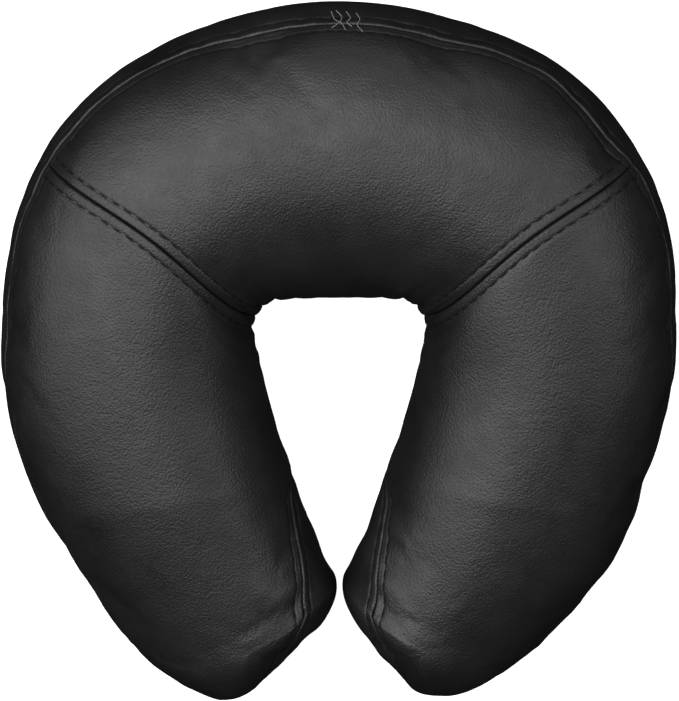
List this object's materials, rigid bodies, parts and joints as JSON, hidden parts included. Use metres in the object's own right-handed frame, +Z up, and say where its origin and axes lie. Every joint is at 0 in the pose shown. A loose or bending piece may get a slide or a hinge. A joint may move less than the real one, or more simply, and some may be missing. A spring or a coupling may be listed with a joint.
{
  "type": "face cradle cushion",
  "caption": "Horseshoe-shaped massage table face cushion with a sewn black cover, padding, loop strips and a zip underneath.",
  "frame": {"origin": "middle of the footprint, on the surface that the loop strips lie on", "axes": "+Z up, +Y towards the brow, +X to the right arm as seen from above with the brow away"},
  "size_m": [0.3, 0.3128, 0.084],
  "materials": {
    "cover": "black imitation leather with a fine pebble grain, satin",
    "base_fabric": "black brushed non-slip fabric",
    "wadding": "white polyester wadding",
    "soft_foam": "soft cream foam",
    "firm_foam": "firm grey foam",
    "loop_tape": "black loop pile",
    "zip_tape": "black woven polyester",
    "zip_coil": "black nylon",
    "zip_metal": "black enamelled metal"
  },
  "bodies": {
    "cushion": {"brow_panel": "cover", "left_cheek_panel": "cover", "right_cheek_panel": "cover", "side_boxing": "cover", "bottom_panel": "base_fabric", "fibre_wrap": "wadding", "comfort_foam": "soft_foam", "base_foam": "firm_foam", "brow_loop_strip": "loop_tape", "left_loop_strip": "loop_tape", "right_loop_strip": "loop_tape", "zip_tape_front": "zip_tape", "zip_tape_rear": "zip_tape", "zip_coil_front": "zip_coil", "zip_coil_rear": "zip_coil", "zip_top_stops": "zip_metal", "zip_bottom_stop": "zip_metal"},
    "zip slider": {"zip_slider": "zip_metal"},
    "zip pull": {"zip_pull": "zip_metal"}
  },
  "joints": [
    {"name": "zip_slide", "type": "slide", "parent": "cushion", "child": "zip slider", "axis": [-1, 0, 0], "range_m": [0, 0.1404]},
    {"name": "pull_swing", "type": "hinge", "parent": "zip slider", "child": "zip pull", "pos_m": [0.0702, 0.104, 0.00197], "axis": [0, -1, 0], "range_deg": [0, 170]}
  ]
}
